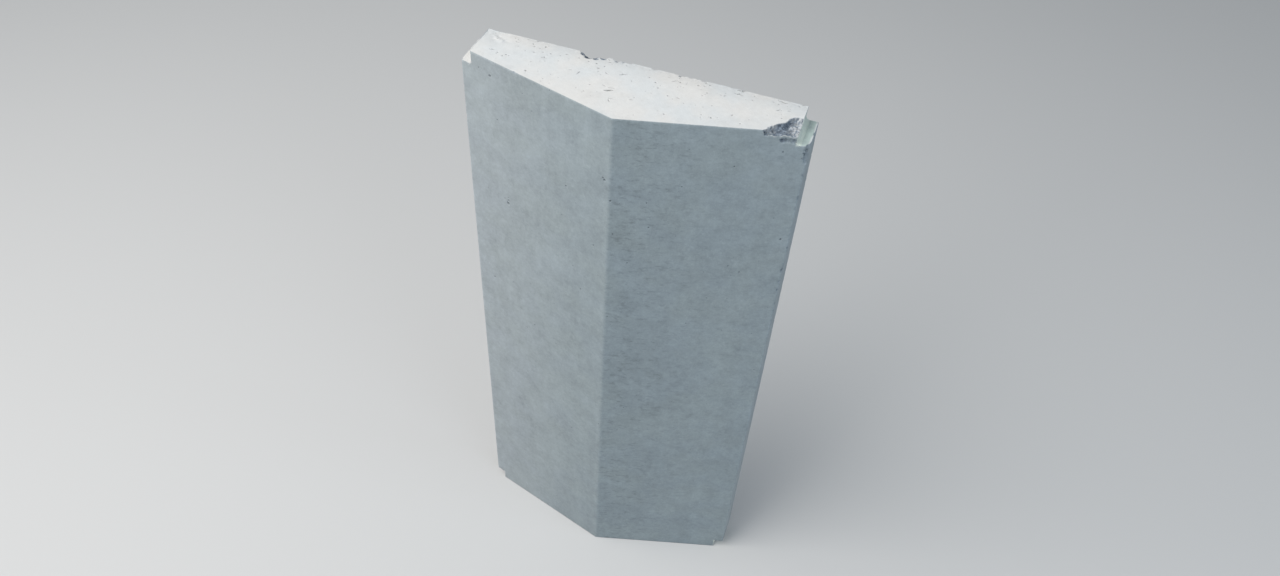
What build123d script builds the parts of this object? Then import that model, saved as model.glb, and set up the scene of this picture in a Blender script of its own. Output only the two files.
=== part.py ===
from build123d import *

import os
from math import atan, cos

# Precast concrete coping with two weathered slopes, for the top of a wall.
# It is cast upside down in one piece: the mould gives the slopes, the ridge
# and the sides, and the flat bed is the open, trowelled face.
# The coping stands on end: its length runs up Z, its width lies along X,
# the bed faces +Y and the ridge faces -Y. The origin is under its middle.

# Driving sizes, in millimetres
length = 750.0
width = 350.0
side_height = 40.0
ridge_height = 90.0
notch_depth = 12.0
notch_length = 15.0
cove_radius = 4.0
ridge_radius = 6.0
arris_radius = 2.0
end_arris = 1.0

# The rounded ridge lies a little below the line where the slopes would meet
weathering = atan((ridge_height - side_height) / (width / 2))
rounded_off = ridge_radius * (1 / cos(weathering) - 1)
thickness = ridge_height - rounded_off

# Places across the thickness, with the box of the coping centred on Y
bed = thickness / 2
eaves = bed - side_height
sharp_ridge = bed - ridge_height

with BuildPart() as coping:
    # Weathered section: flat bed, two low sides and two slopes to the ridge
    with BuildSketch(Plane.XY) as section:
        with BuildLine():
            Polyline(
                (-width / 2, bed),
                (width / 2, bed),
                (width / 2, eaves),
                (0, sharp_ridge),
                (-width / 2, eaves),
                close=True,
            )
        make_face()
        fillet(section.vertices().group_by(Axis.Y)[1], arris_radius)
        fillet(section.vertices().group_by(Axis.Y)[0], ridge_radius)
    extrude(amount=length)

    # Coved notch in each side at each end, where the mould's end stop is held
    with BuildSketch(Plane.XZ) as notches:
        with Locations((0, length / 2)):
            with GridLocations(width, length, 2, 2):
                Rectangle(2 * notch_depth, 2 * notch_length)
        inner_corners = notches.vertices().filter_by(
            lambda v: abs(v.X) < width / 2 and 0 < v.Y < length
        )
        fillet(inner_corners, cove_radius)
    extrude(amount=ridge_height, both=True, mode=Mode.SUBTRACT)

    # Worn arris round the mould-faced edges of both ends
    ends = coping.faces().filter_by(Plane.XY)
    end_edges = ends.edges().filter_by(lambda e: e.center().Y < bed - end_arris)
    chamfer(end_edges, end_arris)

coping.part.label = "coping"

os.makedirs("parts", exist_ok=True)
export_step(coping.part, "parts/coping.step")
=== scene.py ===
import math
import random

import bmesh
import bpy
import numpy as np
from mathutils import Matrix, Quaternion, Vector, kdtree, noise


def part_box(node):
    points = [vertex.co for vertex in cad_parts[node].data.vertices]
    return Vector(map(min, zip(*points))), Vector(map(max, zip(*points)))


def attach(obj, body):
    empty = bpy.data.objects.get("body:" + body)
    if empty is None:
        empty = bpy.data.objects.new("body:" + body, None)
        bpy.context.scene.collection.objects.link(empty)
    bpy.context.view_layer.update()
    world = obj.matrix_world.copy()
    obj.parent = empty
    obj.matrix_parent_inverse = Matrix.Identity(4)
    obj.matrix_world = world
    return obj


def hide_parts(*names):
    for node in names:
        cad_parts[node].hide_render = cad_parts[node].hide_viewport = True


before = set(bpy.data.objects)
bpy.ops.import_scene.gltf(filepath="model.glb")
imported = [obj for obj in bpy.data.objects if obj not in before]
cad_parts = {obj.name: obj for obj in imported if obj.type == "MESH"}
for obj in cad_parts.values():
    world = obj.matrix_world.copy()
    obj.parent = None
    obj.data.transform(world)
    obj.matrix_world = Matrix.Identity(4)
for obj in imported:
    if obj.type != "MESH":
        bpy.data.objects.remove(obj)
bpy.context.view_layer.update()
low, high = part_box("coping")

# The view. The coping stands on end. The eye is at head height, to the right of the ridge and
# above the upper end, and it looks down far enough to take in the whole coping. The picture
# leans a little, as one from a camera held in the hand does.
centre = (low + high) / 2
eye_azimuth = math.radians(17.7)
eye_elevation = math.radians(50.3)
eye_distance = 1.218
look_azimuth = math.radians(15.9)
look_down = math.radians(46.8)
lean = math.radians(4.3)
film_width = 36
picture_width = 1280
focal_pixels = 1012


def direction_from(azimuth, elevation):
    """Points from the coping towards a place round it, where azimuth 0 is straight in front."""
    level = math.cos(elevation)
    return Vector((math.sin(azimuth) * level, -math.cos(azimuth) * level, math.sin(elevation)))


eye = centre + direction_from(eye_azimuth, eye_elevation) * eye_distance
bpy.ops.object.camera_add(location=eye)
camera = bpy.context.object
camera.name = "eye"
camera.data.sensor_width = film_width
camera.data.lens = film_width * focal_pixels / picture_width
camera.data.clip_start = 0.01
looking = (-direction_from(look_azimuth, look_down)).to_track_quat("-Z", "Y")
camera.rotation_euler = (looking @ Quaternion((0, 0, 1), lean)).to_euler()
bpy.context.scene.camera = camera

# The casting. One block of vibrated concrete, cast ridge down in a steel mould. The mould
# gives the two slopes, the ridge and the sides, and the stop at each of its ends leaves a
# coved notch in each side.
width, _, length = high - low
side_height = 0.040
ridge_height = 0.090
notch_depth = 0.012
notch_length = 0.015
cove_radius = 0.004
ridge_radius = 0.006
arris_radius = 0.002
small_arris = 0.0008
bed = high.y
weathering = math.atan((ridge_height - side_height) / (width / 2))
flat_turn, sharp_turn = math.radians(1), math.radians(40)
near_enough = 1e-5
across, outwards, upwards = Vector((1, 0, 0)), Vector((0, 1, 0)), Vector((0, 0, 1))

bpy.ops.object.select_all(action="DESELECT")
bpy.ops.mesh.primitive_cube_add(size=1, location=(0, bed - ridge_height / 2, length / 2))
coping = bpy.context.object
coping.name = "coping_concrete"
coping.scale = (width - 2 * notch_depth, ridge_height, length)
bpy.ops.object.transform_apply(location=True, rotation=False, scale=True)
bpy.ops.object.mode_set(mode="EDIT")


def pick(kind, test):
    """Selects only the faces or the edges of the coping that pass the test."""
    bpy.ops.mesh.select_mode(type=kind)
    bpy.ops.mesh.select_all(action="DESELECT")
    cage = bmesh.from_edit_mesh(coping.data)
    for item in cage.faces if kind == "FACE" else cage.edges:
        if test(item):
            item.select_set(True)
    bmesh.update_edit_mesh(coping.data)


def edge_at(edge, x=None, y=None, z=None):
    """Says whether both ends of an edge lie at the places that are given."""
    wanted = [(axis, place) for axis, place in enumerate((x, y, z)) if place is not None]
    return all(abs(abs(end.co[axis]) - place) < near_enough
               for end in edge.verts for axis, place in wanted)


# Cut across at the notches and draw the sides out between them
for level in (notch_length, length - notch_length):
    bpy.ops.mesh.select_all(action="SELECT")
    bpy.ops.mesh.bisect(plane_co=upwards * level, plane_no=upwards)
for way in (1, -1):
    pick("FACE", lambda face: face.normal.x * way > 0.9
         and notch_length < face.calc_center_median().z < length - notch_length)
    bpy.ops.mesh.extrude_region_move(TRANSFORM_OT_translate={"value": across * way * notch_depth})
bpy.ops.mesh.select_all(action="SELECT")
bpy.ops.mesh.dissolve_limited(angle_limit=flat_turn)

# Weather the front in two slopes
for way in (1, -1):
    slope_normal = Vector((way * math.sin(weathering), -math.cos(weathering), 0))
    bpy.ops.mesh.select_all(action="SELECT")
    bpy.ops.mesh.bisect(plane_co=outwards * (bed - ridge_height), plane_no=slope_normal,
                        clear_outer=True, use_fill=True)

# Round the coves, the ridge and the eaves, then take the sharpness off every other arris
notch_face = width / 2 - notch_depth
for level in (notch_length, length - notch_length):
    pick("EDGE", lambda edge: edge_at(edge, x=notch_face, z=level))
    bpy.ops.mesh.bevel(offset=cove_radius, segments=4, affect="EDGES")
pick("EDGE", lambda edge: edge_at(edge, x=0) and edge.calc_length() > length / 2)
bpy.ops.mesh.bevel(offset=ridge_radius * math.tan(weathering), segments=4, affect="EDGES")
pick("EDGE", lambda edge: edge_at(edge, x=width / 2) and edge.calc_length() > length / 2
     and edge.verts[0].co.y < bed - side_height / 2)
eaves_turn = math.pi / 2 - weathering
bpy.ops.mesh.bevel(offset=arris_radius * math.tan(eaves_turn / 2), segments=3, affect="EDGES")
bpy.ops.mesh.select_all(action="DESELECT")
bpy.ops.mesh.select_mode(type="EDGE")
bpy.ops.mesh.edges_select_sharp(sharpness=sharp_turn)
bpy.ops.mesh.bevel(offset=small_arris, segments=2, affect="EDGES")

# Divide every face into a net, close enough to carry the relief of the concrete
net = 0.0055


def slice_across(direction, start, end, kind_of_face=lambda face: True):
    """Cuts the faces that pass the test across one direction, at even spaces from start to end."""
    slices = round((end - start) / net)
    for number in range(slices):
        pick("FACE", kind_of_face)
        place = start + (number + 0.5) * (end - start) / slices
        bpy.ops.mesh.bisect(plane_co=direction * place, plane_no=direction)


slice_across(outwards, low.y, high.y, lambda face: abs(face.normal.y) < 0.3)
slice_across(across, -width / 2, width / 2)
slice_across(upwards, 0, length)
bpy.ops.object.mode_set(mode="OBJECT")

# The worn arrises. The mould leaves the front arrises clean, but the bed is trowelled by hand,
# so its arrises are ragged where the wet edge crumbled. Handling has knocked a few more off.
# Each mark gets a close enough net first, and the marks are cut once all the nets are there.
chance = random.Random(12)
most_halvings = 7


def refine(spots, reach, longest):
    """Splits the edges within reach of the spots until none is longer than longest."""
    tree = kdtree.KDTree(len(spots))
    for number, spot in enumerate(spots):
        tree.insert(spot, number)
    tree.balance()
    mesh = coping.data
    for _ in range(most_halvings):
        places = np.empty(3 * len(mesh.vertices))
        mesh.vertices.foreach_get("co", places)
        places = places.reshape(-1, 3)
        ends = np.empty(2 * len(mesh.edges), int)
        mesh.edges.foreach_get("vertices", ends)
        first, second = places[ends[0::2]], places[ends[1::2]]
        lengths = np.linalg.norm(first - second, axis=1)
        chosen = lengths > longest
        for number in np.flatnonzero(chosen):
            gap = tree.find((first[number] + second[number]) / 2)[2]
            chosen[number] = gap < reach + lengths[number] / 2
        if not chosen.any():
            break
        mesh.vertices.foreach_set("select", np.zeros(len(mesh.vertices), bool))
        mesh.polygons.foreach_set("select", np.zeros(len(mesh.polygons), bool))
        mesh.edges.foreach_set("select", chosen)
        bpy.context.tool_settings.mesh_select_mode = (False, True, False)
        bpy.ops.object.mode_set(mode="EDIT")
        bpy.ops.mesh.subdivide(number_cuts=1, ngon=False)
        bpy.ops.object.mode_set(mode="OBJECT")


def slope_y(x):
    """Where the weathered front lies at a place across the coping."""
    return bed - ridge_height + abs(x) * math.tan(weathering)


def points_between(first, second, step):
    """Points at even steps from the first place to the second."""
    count = max(1, round((second - first).length / step))
    return [first.lerp(second, number / count) for number in range(count + 1)]


# The runs of each arris, with the way that points straight out of it. At the eaves, that way
# goes so far along Y for each 1 along X.
eaves_forward = -0.8
bed_arrises, front_arrises = [], []
for side in (1, -1):
    edge_x = side * width / 2
    out = Vector((side, 1, 0)).normalized()
    bed_arrises.append((Vector((edge_x, bed, notch_length)),
                        Vector((edge_x, bed, length - notch_length)), out))
    eaves_y = slope_y(edge_x)
    out = Vector((side, eaves_forward, 0)).normalized()
    front_arrises.append((Vector((edge_x, eaves_y, notch_length)),
                          Vector((edge_x, eaves_y, length - notch_length)), out))
for level, way in ((0, -1), (length, 1)):
    out = Vector((0, 1, way)).normalized()
    bed_arrises.append((Vector((-notch_face, bed, level)), Vector((notch_face, bed, level)), out))
    for side in (1, -1):
        out = Vector((0, -1, way)).normalized()
        front_arrises.append((Vector((0, slope_y(0), level)),
                              Vector((side * notch_face, slope_y(notch_face), level)), out))

bites = []


def nibble(arrises, spacing, radii, depths):
    """Knocks small hollows out of arrises, at random places about one spacing apart."""
    for first, second, out in arrises:
        for _ in range(round((second - first).length / spacing)):
            radius, depth = chance.uniform(*radii), chance.uniform(*depths)
            place = first.lerp(second, chance.random())
            bites.append((place + out * (radius - depth), radius, 1))


nibble(bed_arrises, spacing=0.007, radii=(0.002, 0.006), depths=(0.0003, 0.0013))
nibble(bed_arrises, spacing=0.060, radii=(0.004, 0.009), depths=(0.0012, 0.0026))
nibble(front_arrises, spacing=0.040, radii=(0.001, 0.004), depths=(0.0002, 0.0007))
worn_run = (Vector((width / 2, slope_y(width / 2), 0.50)),
            Vector((width / 2, slope_y(width / 2), 0.73)),
            Vector((1, eaves_forward, 0)).normalized())
nibble([worn_run], spacing=0.009, radii=(0.006, 0.014), depths=(0.0004, 0.0012))

def knock(place, out, radius, depth, fresh=1):
    """Takes a hollow out of an arris. Its face is dark where it is fresh, and greys as it ages."""
    bites.append((place + out.normalized() * (radius - depth), radius, fresh))


# Knocks at known places: the back arris of the upper end and the crumbled strip before it, its
# front arris, the eaves, an old knock under the right notch, and the lips of the upper notches
for x, radius, depth in ((-0.0585, 0.005, 0.0035), (-0.053, 0.010, 0.0062),
                         (-0.043, 0.008, 0.0045), (-0.0260, 0.007, 0.0030),
                         (-0.015, 0.005, 0.0020), (0.012, 0.006, 0.0018),
                         (0.060, 0.007, 0.0020), (0.118, 0.006, 0.0015)):
    knock(Vector((x, bed, length)), Vector((0, 1, 1)), radius, depth)
for x, inwards, radius, depth in (
        (-0.0590, 0.0030, 0.0050, 0.0034), (-0.0540, 0.0055, 0.0060, 0.0042),
        (-0.0470, 0.0065, 0.0045, 0.0022), (-0.0405, 0.0040, 0.0045, 0.0022),
        (-0.0265, 0.0030, 0.0035, 0.0016), (-0.0205, 0.0020, 0.0030, 0.0012),
        (-0.0120, 0.0025, 0.0030, 0.0010)):
    knock(Vector((x, bed - inwards, length)), Vector((0, 0.3, 1)), radius, depth)
for x, radius, depth in ((-0.111, 0.004, 0.0014), (-0.107, 0.003, 0.0010), (0.071, 0.003, 0.0008)):
    knock(Vector((x, slope_y(x), length)), Vector((0, -1, 1)), radius, depth)
for side, z, radius, depth in ((-1, 0.7035, 0.005, 0.0013), (-1, 0.666, 0.006, 0.0014),
                               (-1, 0.640, 0.004, 0.0008), (1, 0.713, 0.006, 0.0012)):
    place = Vector((side * width / 2, slope_y(width / 2), z))
    knock(place, Vector((side, eaves_forward, 0)), radius, depth)
for z, radius, depth in ((0.7350, 0.0090, 0.0036), (0.7285, 0.0085, 0.0034),
                         (0.7225, 0.0090, 0.0040), (0.7175, 0.0070, 0.0026)):
    place = Vector((width / 2, slope_y(width / 2), z))
    knock(place, Vector((1, -0.7, 0)), radius, depth, fresh=0.30)
for side in (1, -1):
    for y, radius, depth in ((0.006, 0.004, 0.0012), (0.016, 0.003, 0.0008),
                             (0.025, 0.005, 0.0013), (0.036, 0.004, 0.0010)):
        place = Vector((side * width / 2, y, length - notch_length))
        knock(place, Vector((side, 0, 1)), radius, depth)

# A shallow second spall in the slope under the broken corner
off_slope = Vector((math.sin(weathering), -math.cos(weathering), 0))
for x, z, radius, depth in ((0.1500, 0.7393, 0.0030, 0.0019), (0.1528, 0.7400, 0.0045, 0.0012),
                            (0.1560, 0.7398, 0.0060, 0.0010), (0.1595, 0.7394, 0.0060, 0.0010),
                            (0.1622, 0.7386, 0.0045, 0.0013), (0.1352, 0.7450, 0.0026, 0.0018),
                            (0.1385, 0.7453, 0.0024, 0.0013)):
    knock(Vector((x, slope_y(x), z)), off_slope, radius, depth)

for arrises, reach, longest in ((bed_arrises, 0.0025, 0.0021), (front_arrises, 0.001, 0.0025)):
    spots = [place for run in arrises for place in points_between(run[0], run[1], 0.004)]
    refine(spots, reach, longest)
wide_bites = [place for place, radius, fresh in bites if radius > 0.004]
refine(wide_bites, reach=0.0055, longest=0.0014)

# The broken corner. The right front corner of the upper end was knocked off. The break is a
# shelf about 5 mm deep with a steep curved wall, and shows the dark matrix and stones in it.
break_hub = Vector((0.170, -0.017, length))
break_radius = 0.0395
break_depth = 0.0055
break_steepness = 1.2
break_wall_waves = ((0.0024, 0.0070), (0.0010, 0.0030))
break_floor_waves = ((0.0022, 0.0065), (0.0011, 0.0026))
on_shelf = ((0.137, -0.003), (0.145, 0.004), (0.152, 0.012),
            (0.158, 0.018), (0.158, 0.005), (0.150, 0.0))
under_shelf = [(x, z) for x in (0.135, 0.142, 0.149, 0.156, 0.162) for z in (0.747, 0.741)]
refine([Vector((x, y, length)) for x, y in on_shelf], reach=0.0075, longest=0.0008)
refine([Vector((x, slope_y(x), z)) for x, z in under_shelf], reach=0.0045, longest=0.0008)

# Air holes and pits. Air bubbles against the mould leave round holes in the slopes and the
# sides. The ends and the bed are open faces, with pits, dragged grains and short scratches.
holes = []


def hole_on_slope(x, z, radius, depth=0.8):
    """An air hole in one of the two slopes. The depth is a share of the radius."""
    inward = Vector((-math.copysign(math.sin(weathering), x), math.cos(weathering), 0))
    holes.append((Vector((x, slope_y(x), z)), inward, radius, depth * radius))


def hole_on_end(x, y, radius, depth=0.7, level=length):
    """A pit in the upper end, or in the lower one if its level is given."""
    inward = -upwards if level else upwards
    holes.append((Vector((x, y, level)), inward, radius, depth * radius))


# Holes and pits at known places
for x, z, radius in ((-0.140, 0.731, 0.0016), (-0.153, 0.735, 0.0008), (-0.126, 0.5735, 0.0019),
                     (-0.1255, 0.578, 0.0012), (-0.1255, 0.582, 0.0008), (-0.0058, 0.6736, 0.0015),
                     (-0.0075, 0.6755, 0.0012), (0.0016, 0.650, 0.0013), (-0.0505, 0.641, 0.0011),
                     (-0.0164, 0.5795, 0.0010), (-0.1524, 0.442, 0.0012), (-0.0316, 0.503, 0.0009),
                     (-0.122, 0.550, 0.0008), (0.0357, 0.651, 0.0008), (0.0667, 0.675, 0.0009),
                     (0.1664, 0.616, 0.0013), (0.1326, 0.565, 0.0009), (0.1524, 0.726, 0.0010),
                     (0.0209, 0.566, 0.0009), (0.1206, 0.573, 0.0008)):
    hole_on_slope(x, z, radius)
for x, z, radius in ((0.1715, 0.7328, 0.0014), (0.1695, 0.7318, 0.0008), (0.1728, 0.7288, 0.0016),
                     (0.1705, 0.7262, 0.0010), (0.1722, 0.7238, 0.0013), (0.1699, 0.7205, 0.0007)):
    hole_on_slope(x, z, radius, depth=0.5)
for x, y, radius in ((-0.1406, 0.0305, 0.0011), (-0.1485, 0.034, 0.0013), (-0.098, 0.0371, 0.0013),
                     (-0.1055, 0.0242, 0.0010), (-0.0973, 0.0275, 0.0009), (-0.0429, 0.0303, 0.0011),
                     (-0.0385, 0.024, 0.0013), (0.0406, 0.0328, 0.0011), (0.058, 0.0351, 0.0012),
                     (0.0635, 0.0418, 0.0009), (0.0682, 0.0396, 0.0010), (0.0827, -0.0079, 0.0012)):
    hole_on_end(x, y, radius)

# The rest of them, scattered. The three radii are the smallest, the largest and the usual one.
slope_holes, side_holes, short_scratches = 34, 14, 22
upper_end_pits, lower_end_pits, bed_pits = 120, 60, 150
for _ in range(slope_holes):
    x = chance.uniform(-1, 1) * (width / 2 - 0.006)
    hole_on_slope(x, chance.uniform(0.02, length - 0.02), chance.triangular(0.0005, 0.0011, 0.0006))
for level, count in ((length, upper_end_pits), (0, lower_end_pits)):
    for _ in range(count):
        x = chance.uniform(-1, 1) * (notch_face - 0.003)
        back = bed - 0.002 - (bed - slope_y(x) - 0.005) * chance.random() ** 1.7
        hole_on_end(x, back, chance.triangular(0.0004, 0.0012, 0.0005), 0.8, level)
for _ in range(bed_pits):
    x = chance.uniform(-1, 1) * (width / 2 - 0.004)
    place = Vector((x, bed, chance.uniform(0.02, length - 0.02)))
    radius = chance.triangular(0.0006, 0.0026, 0.0008)
    holes.append((place, -outwards, radius, 0.7 * radius))
for side in (1, -1):
    for _ in range(side_holes):
        place = Vector((side * width / 2, chance.uniform(slope_y(width / 2) + 0.004, bed - 0.004),
                        chance.uniform(0.03, length - 0.03)))
        radius = chance.triangular(0.0006, 0.0018, 0.0008)
        holes.append((place, -across * side, radius, 0.8 * radius))

# Scratches, each from one place on the upper end to another, with its breadth
scratches = [(-0.1625, 0.040, -0.153, 0.0365, 0.0006), (-0.1475, 0.0125, -0.142, 0.0128, 0.0005),
             (-0.0215, -0.0073, -0.0138, -0.0045, 0.0010), (-0.0165, 0.0215, -0.010, 0.025, 0.0007),
             (0.093, 0.0365, 0.101, 0.0362, 0.0008), (0.094, 0.0425, 0.102, 0.0440, 0.0008),
             (0.1345, 0.0415, 0.1435, 0.0405, 0.0008)]
for _ in range(short_scratches):
    x = chance.uniform(-1, 1) * (notch_face - 0.012)
    y = slope_y(x) + 0.006 + (bed - slope_y(x) - 0.012) * chance.random() ** 0.7
    turn, reach = chance.gauss(0.1, 0.5), chance.triangular(0.001, 0.007, 0.002)
    scratches.append((x, y, x + reach * math.cos(turn), y + reach * math.sin(turn), 0.0005))
for x, y, far_x, far_y, breadth in scratches:
    groove = points_between(Vector((x, y, length)), Vector((far_x, far_y, length)), 0.0003)
    for number, place in enumerate(groove):
        taper = math.sin(math.pi * (number + 0.5) / len(groove))
        place.y += 0.0009 * noise.noise(place / 0.003)
        depth = breadth * (0.3 + 0.5 * taper * chance.random())
        holes.append((place, -upwards, breadth * (0.6 + 0.4 * taper), depth))

wide_holes = [place for place, inward, radius, depth in holes if radius > 0.001]
small_holes = [place for place, inward, radius, depth in holes if radius <= 0.001]
refine([hole[0] for hole in holes], reach=0.0013, longest=0.0012)
refine(wide_holes, reach=0.0015, longest=0.0007)
refine(small_holes, reach=0.0008, longest=0.0005)

# The skin. The mould faces are true to a quarter of a millimetre. The ends are rougher towards
# the bed, and the bed has the long swells and the ridges that the trowel left.
mesh = coping.data
points, normals = np.empty(3 * len(mesh.vertices)), np.empty(3 * len(mesh.vertices))
mesh.vertices.foreach_get("co", points)
mesh.vertices.foreach_get("normal", normals)
points, normals = points.reshape(-1, 3), normals.reshape(-1, 3)


def wander(size, seed, stretch=(1, 1, 1)):
    """Smooth noise from 0 to 1 over the whole surface, with swells of about that size."""
    scale = Vector(stretch) / size
    shift = Vector((seed, 1.7 * seed, 2.3 * seed))
    return np.array([0.5 + 0.5 * noise.noise(Vector(point) * scale + shift) for point in points])


def waves(place, heights_and_sizes):
    """Noise of a few sizes added up, each with its own height."""
    return sum(height * noise.noise(place / size) for height, size in heights_and_sizes)


def squarely(facing):
    """From 0 to 1 as the surface turns to face one way. Takes its normals along that way."""
    return np.clip((facing - 0.6) / 0.3, 0, 1)


rough_margin = 0.022
arris_breadth, ridge_breadth, ridge_share = 0.0035, 0.004, 0.35
end_face = squarely(np.abs(normals[:, 2]))
bed_face = squarely(normals[:, 1])
towards_bed = np.clip((points[:, 1] - (bed - rough_margin)) / rough_margin, 0, 1)
from_side = width / 2 - np.abs(points[:, 0])
from_long_arris = np.minimum(np.hypot(from_side, points[:, 1] - slope_y(width / 2)),
                             np.hypot(from_side, points[:, 1] - bed))
arris = np.clip(1 - from_long_arris / arris_breadth, 0, 1)
on_ridge = np.clip(1 - np.abs(points[:, 0]) / ridge_breadth, 0, 1) * (points[:, 1] < 0)
arris = np.maximum(arris, ridge_share * on_ridge)

# The recesses of the notches are painted chalk-pale, and the sides more thinly: painted light.
# Those on the right get a greenish tint, brightened: partly a lime bloom, partly painted
# light. The ledge of the upper one keeps mostly the mould skin's darker tone: painted shade.
from_end = np.minimum(points[:, 2], length - points[:, 2])
in_notch = (np.abs(points[:, 0]) > notch_face - 0.0005) & (from_end < notch_length + 0.0002)
in_notch &= (from_end > 0.001) & (from_side > 0.001)
ledge = in_notch & (points[:, 0] > 0) & (points[:, 2] > length / 2)
# The sides and the recess walls get a share of the pale chalk: painted light.
ledge_chalk_in_painted_shade, side_painted_light, recess_painted_light = 0.2, 0.18, 0.95
# The upper right ledge keeps little chalk, so it stays dark: painted shade.
end_face[ledge] *= ledge_chalk_in_painted_shade
end_face = np.maximum(end_face, side_painted_light * squarely(np.abs(normals[:, 0])))
painted_light_chalk = np.maximum(end_face, np.clip(2.2 * np.abs(normals[:, 0]), 0, recess_painted_light))
end_face = np.where(in_notch, painted_light_chalk, end_face)

# How far the skin lies below the true faces: swells of each size, to the depth before them.
# One patch of the upper end is lumpy.
relief = 0.00020 * wander(0.09, 1) + 0.00006 * wander(0.02, 2)
patch_x, patch_y, patch_radius = -0.148, 0.033, 0.011
lumpy = np.exp(-((points[:, 0] - patch_x)**2 + (points[:, 1] - patch_y)**2) / patch_radius**2)
fine_lumps = wander(0.0045, 4)
relief += end_face * (0.00025 * wander(0.03, 3) + (0.00025 + 0.0007 * towards_bed**2) * fine_lumps)
relief += end_face * lumpy * (0.0026 * wander(0.0060, 8) + 0.0022 * fine_lumps)
trowelled = np.abs(2 * wander(0.045, 5, (1, 1, 0.3)) - 1)
relief += bed_face * (0.0007 * wander(0.11, 6) + 0.0004 * trowelled + 0.00025 * wander(0.007, 7))
points -= normals * relief[:, None]

broken = np.zeros(len(points))
hole = np.zeros(len(points))
tree = kdtree.KDTree(len(points))
for number, point in enumerate(points):
    tree.insert(point, number)
tree.balance()

# Every knock goes down to its uneven hollow, and is dark where it is deep
bite_waves = ((0.22, 0.0035),)
dark_depth = 0.0018
for centre_of_bite, radius, fresh in bites:
    for _, number, _ in tree.find_range(centre_of_bite, radius * 1.3):
        arm = Vector(points[number]) - centre_of_bite
        wanted = radius * (1 + waves(Vector(points[number]), bite_waves))
        if arm.length < wanted:
            dark = fresh * min(1, (wanted - arm.length) / dark_depth)
            broken[number] = max(broken[number], dark)
            points[number] = centre_of_bite + arm * (wanted / arm.length)

# Everything in front of the shelf's wall goes down to the shelf, the top of the recess with it.
# The shelf is broader on the right, its front and right edges are rounded, and a pale dust
# lies at both its ends. Under its front edge a thin line of the slope is painted pale: a
# painted highlight.
broader_from, broader_by, slant = 0.1485, 0.003, 0.30
rounding, rim_breadth, lip_height = 0.008, 0.004, 0.0011
dust_right, dust_left, dust_share = 0.150, 0.143, 0.7
rim = []
for _, number, _ in tree.find_range(break_hub, break_radius + 0.006):
    x, y, z = points[number]
    place = Vector((x, y, 0))
    from_front = y - slope_y(x)
    from_wall = break_radius - math.hypot(x - break_hub.x, y - break_hub.y)
    from_wall += waves(place, break_wall_waves)
    broader = min(1, max(0, (x - broader_from) / 0.003))
    from_wall += broader_by * broader - slant * max(0, from_front - 0.003) * (1 - broader)
    if from_wall < 0 or z < length - break_depth - 0.003:
        continue
    steepness = break_steepness + 3 * max(0, 1 - from_front / 0.006)
    depth = min(from_wall * steepness, break_depth + waves(place, break_floor_waves))
    proud = z - (length - depth)
    if proud > 0:
        push = 0.5 * proud
        points[number] = (x - push * max(0, 1 - (notch_face - x) / rounding),
                          y + push * max(0, 1 - from_front / rounding), length - depth)
        dusty = min(1, max(0, (x - dust_right) / 0.009, (dust_left - x) / 0.005))
        dusty *= min(1, max(0.1, 0.55 + 1.2 * noise.noise(place / 0.0020)))
        dark = min(1, proud / 0.0006) * (1 - dust_share * dusty)
        broken[number] = max(broken[number], dark)
        if x > notch_face - rim_breadth:
            rim.append(number)
            in_notch[number] = False
            end_face[number] = 1
    # A thin band under the front edge is painted pale: a painted highlight.
    elif proud > -lip_height and from_front < 0.001:
        lip_highlight = 0.8 * min(1, max(0, 0.55 + 1.6 * noise.noise(place / 0.0035)))
        end_face[number] = max(end_face[number], lip_highlight)

# Every air hole, pit and scratch is pressed in, with an uneven edge
hole_waves = ((0.35, 0.0012),)
for place, inward, radius, depth in holes:
    for _, number, _ in tree.find_range(place, radius * 1.5):
        arm = Vector(points[number]) - place
        arm -= inward * arm.dot(inward)
        gap = arm.length / (radius * (1 + waves(Vector(points[number]), hole_waves)))
        if gap < 1:
            points[number] += np.array(inward) * depth * (1 - gap**3)
            hole[number] = max(hole[number], 1 - gap**4)

mesh.vertices.foreach_set("co", points.ravel())
# The right notches get a brightened greenish tint: partly lime bloom, partly painted light.
bloom_and_painted_light = in_notch & (points[:, 0] > 0)
for name, values in (("end_face", end_face), ("bed_face", bed_face), ("near_bed", towards_bed),
                     ("bloom_and_painted_light", bloom_and_painted_light), ("arris", arris), ("broken", broken), ("hole", hole)):
    mesh.attributes.new(name, "FLOAT", "POINT").data.foreach_set("value", values)
mesh.update()

# Soften the rim where the shelf runs out into the recess
coping.vertex_groups.new(name="rim").add(rim, 1, "REPLACE")
bpy.ops.object.modifier_add(type="SMOOTH")
coping.modifiers["Smooth"].vertex_group = "rim"
coping.modifiers["Smooth"].iterations = 4
bpy.ops.object.modifier_apply(modifier="Smooth")
coping.vertex_groups.clear()

# Close up the slivers that the cuts between the nets left
sliver = 0.00002
bpy.ops.object.mode_set(mode="EDIT")
bpy.ops.mesh.select_all(action="SELECT")
bpy.ops.mesh.dissolve_degenerate(threshold=sliver)
bpy.ops.object.mode_set(mode="OBJECT")
bpy.ops.object.shade_smooth_by_angle(angle=sharp_turn)

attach(coping, "root")
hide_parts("coping")

# The concrete. Grey cement with fine pale sand. The mould faces have a smooth, bluish skin
# with soft clouds in it, the ends are chalky and pale, and a break shows the darker matrix.
concrete = bpy.data.materials.new("concrete")
concrete.use_nodes = True
concrete.node_tree.nodes.clear()


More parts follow.
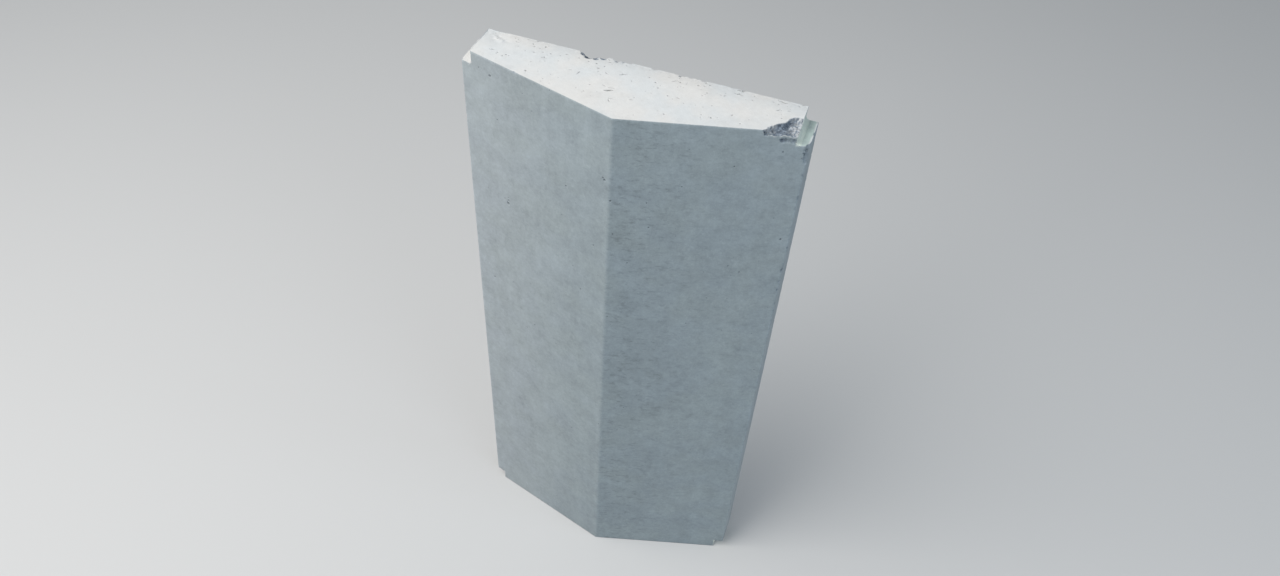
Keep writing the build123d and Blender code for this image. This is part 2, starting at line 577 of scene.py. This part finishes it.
class Paint:
    """One value of the concrete's shader. Sums on it add the nodes that work them out."""

    def __init__(self, socket):
        self.socket = socket

    def node(self, kind, settings, inputs, output=0):
        """Adds a node, sets it up, feeds its sockets and gives one of its outputs."""
        made = concrete.node_tree.nodes.new(kind)
        for name, value in settings.items():
            setattr(made, name, value)
        for name, value in inputs.items():
            if isinstance(value, Paint):
                concrete.node_tree.links.new(value.socket, made.inputs[name])
            else:
                made.inputs[name].default_value = value
        return Paint(made.outputs[output]) if made.outputs else None

    def sums(self, operation, first, second):
        return self.node("ShaderNodeMath", {"operation": operation}, {0: first, 1: second})

    def __add__(self, other):
        return self.sums("ADD", self, other)

    def __sub__(self, other):
        return self.sums("SUBTRACT", self, other)

    def __rsub__(self, other):
        return self.sums("SUBTRACT", other, self)

    def __mul__(self, other):
        return self.sums("MULTIPLY", self, other)

    __radd__ = __add__
    __rmul__ = __mul__

    def size_only(self):
        """The value without its sign."""
        return self.node("ShaderNodeMath", {"operation": "ABSOLUTE"}, {0: self})


where = Paint(None).node("ShaderNodeTexCoord", {}, {}, "Object")


def grain(size, detail=3, rough=0.55, stretch=(1, 1, 1)):
    """Noise from 0 to 1 with clouds of about that size in metres."""
    place = where.node("ShaderNodeMapping", {}, {"Vector": where, "Scale": stretch})
    return where.node("ShaderNodeTexNoise", {}, {
        "Vector": place, "Scale": 1 / size, "Detail": detail, "Roughness": rough})


def rise(value, start, end):
    """Goes smoothly from 0 to 1 while the value goes from start to end."""
    return where.node("ShaderNodeMapRange", {"interpolation_type": "SMOOTHSTEP"},
                      {"Value": value, "From Min": start, "From Max": end})


def blend(share, first, second):
    """The first colour, or the second where the share is 1."""
    return where.node("ShaderNodeMix", {"data_type": "RGBA"}, {0: share, 6: first, 7: second}, 2)


def shade(colour, brightness):
    """A colour made lighter or darker."""
    return where.node("ShaderNodeVectorMath", {"operation": "SCALE"},
                      {0: colour, "Scale": brightness})


def painted(name):
    """A value that was laid down on the mesh."""
    return where.node("ShaderNodeAttribute", {"attribute_name": name}, {}, "Fac")


def cells(scale, output):
    """Random cells, so many in a metre: the distance from their middles, or a random colour."""
    return where.node("ShaderNodeTexVoronoi", {"feature": "F1"},
                      {"Vector": where, "Scale": scale}, output)


def across_only():
    """The place across the coping, in metres from the ridge, as a plain number."""
    return where.node("ShaderNodeSeparateXYZ", {}, {0: where}, "X")


clouds = grain(0.050, 3, 0.5)
drift = grain(0.045, 5, 1.0)
smudges = rise(grain(0.014, 4, 0.65), 0.54, 0.70)
flecks = rise(grain(0.006, 3, 0.6), 0.58, 0.72)
streaks = grain(0.016, 4, 0.8, (1, 1, 0.22))
sand = grain(0.0011, 2, 0.6)
mottle = grain(0.0045, 3, 0.65)
on_right = rise(across_only(), -0.004, 0.004)
near_ridge = 1 - rise(across_only().size_only(), 0.015, 0.120)
drags = rise(grain(0.0040, 3, 0.6, (0.30, 1, 1)), 0.54, 0.68) * (0.35 + 0.65 * near_ridge)
# The left slope is painted paler towards its eaves: painted light.
painted_light_left_eaves = rise(across_only() * -1, 0.0, 0.18)
pin_share = rise(cells(120, "Color"), 0.62, 1.0)
pin_holes = 1 - rise(cells(120, "Distance") - 0.07 * pin_share, 0.0, 0.03)
pin_holes = pin_holes * rise(pin_share, 0.02, 0.10)

# The right slope's skin is a little darker and bluer than the left's: painted shade.
mould_skin = blend(on_right, (0.290, 0.340, 0.370, 1), (0.283, 0.339, 0.374, 1))
mould_skin = blend(painted_light_left_eaves, mould_skin, (0.358, 0.400, 0.430, 1))
mould_skin = blend(0.16 * rise(clouds, 0.35, 0.65), mould_skin, (0.320, 0.365, 0.345, 1))
# Besides its drag marks, the right slope is painted darker towards the ridge: painted shade.
mould_skin = shade(mould_skin, 0.55 + 0.78 * drift + (0.22 - 0.12 * on_right) * (streaks - 0.2)
                   - 0.07 * smudges + 0.06 * flecks - (0.17 * drags + 0.03 * near_ridge) * on_right)
mould_skin = shade(mould_skin, 1 + 0.16 * painted("arris") * rise(mottle, 0.35, 0.6))
# The chalk is painted darker towards the bed: painted shade.
chalk = shade(blend(rise(clouds, 0.35, 0.65), (0.572, 0.597, 0.612, 1), (0.608, 0.609, 0.604, 1)),
              0.83 + 0.17 * drift + 0.14 * grain(0.006, 4, 0.65) + 0.05 * sand - 0.05 * smudges
              - 0.10 * painted("near_bed"))
trowel_marks = grain(0.014, 4, 0.7, (0.14, 1, 0.8))
screed = shade(blend(rise(clouds, 0.30, 0.70), (0.395, 0.425, 0.440, 1), (0.425, 0.445, 0.448, 1)),
               0.66 + 0.40 * drift + 0.22 * trowel_marks + 0.10 * grain(0.006, 4, 0.65)
               - 0.05 * smudges)
stones = rise(cells(330, "Color"), 0.55, 0.80)
matrix = blend(rise(grain(0.0030, 3, 0.7), 0.35, 0.65),
               (0.092, 0.117, 0.152, 1), (0.186, 0.226, 0.278, 1))
matrix = blend(0.7 * stones * rise(grain(0.005, 2, 0.5), 0.45, 0.65),
               matrix, (0.41, 0.465, 0.525, 1))
crumbs = rise(grain(0.0018, 4, 0.75), 0.36, 0.64)
matrix = shade(matrix, 0.72 + 0.56 * crumbs)

# Greenish and brighter in the right notches: partly lime bloom, partly painted light.
lime_and_painted_light = blend(painted("bloom_and_painted_light") * rise(mottle, 0.10, 0.55),
             (1, 1, 1, 1), (1.16, 1.23, 1.10, 1))
colour = blend(painted("end_face"), mould_skin, chalk)
colour = where.node("ShaderNodeVectorMath", {"operation": "MULTIPLY"}, {0: colour, 1: lime_and_painted_light})
colour = blend(painted("bed_face"), colour, screed)
colour = blend(painted("broken"), colour, matrix)
# Holes, pits, scratches and pin holes are painted darker: painted shade inside them.
colour = shade(colour, (0.98 + 0.04 * sand) * (1 - 0.42 * painted("hole")) * (1 - 0.40 * pin_holes))

height = (0.35 * sand + 0.7 * mottle + 1.5 * drift - 2.0 * pin_holes
          + 1.2 * crumbs * painted("broken"))
bump = where.node("ShaderNodeBump", {}, {"Strength": 0.6, "Distance": 0.0003, "Height": height})
surface = where.node("ShaderNodeBsdfPrincipled", {}, {
    "Base Color": colour, "Roughness": 0.80 + 0.14 * drift,
    "Specular IOR Level": 0.3, "Normal": bump})
where.node("ShaderNodeOutputMaterial", {}, {"Surface": surface})
coping.data.materials.clear()
coping.data.materials.append(concrete)

# The floor and the light. A plain pale floor under a wide warm light from above and the left,
# with a weaker, cooler one from the right and a pale sky all round.
floor_grey = (0.60, 0.605, 0.61, 1)
sky_blue = (0.80, 0.87, 0.93, 1)
sky_strength = 0.365
bpy.ops.mesh.primitive_plane_add(size=8)
floor = bpy.context.object
floor.name = "floor"
pale = bpy.data.materials.new("pale_floor")
pale.use_nodes = True
pale.node_tree.nodes["Principled BSDF"].inputs["Base Color"].default_value = floor_grey
pale.node_tree.nodes["Principled BSDF"].inputs["Roughness"].default_value = 0.9
floor.data.materials.append(pale)
for place, size, power, tone in (((-1.15, -1.05, 2.6), 2.2, 82, (1, 0.965, 0.92)),
                                 ((2.2, -0.8, 1.8), 2.4, 20, (0.78, 0.89, 1))):
    bpy.ops.object.light_add(type="AREA", location=place)
    lamp = bpy.context.object
    lamp.data.size = size
    lamp.data.energy = power
    lamp.data.color = tone
    lamp.rotation_euler = (lamp.location - centre).to_track_quat("Z", "Y").to_euler()
world = bpy.data.worlds.new("sky")
bpy.context.scene.world = world
world.use_nodes = True
world.node_tree.nodes["Background"].inputs["Color"].default_value = sky_blue
world.node_tree.nodes["Background"].inputs["Strength"].default_value = sky_strength
bpy.context.scene.view_settings.view_transform = "Standard"
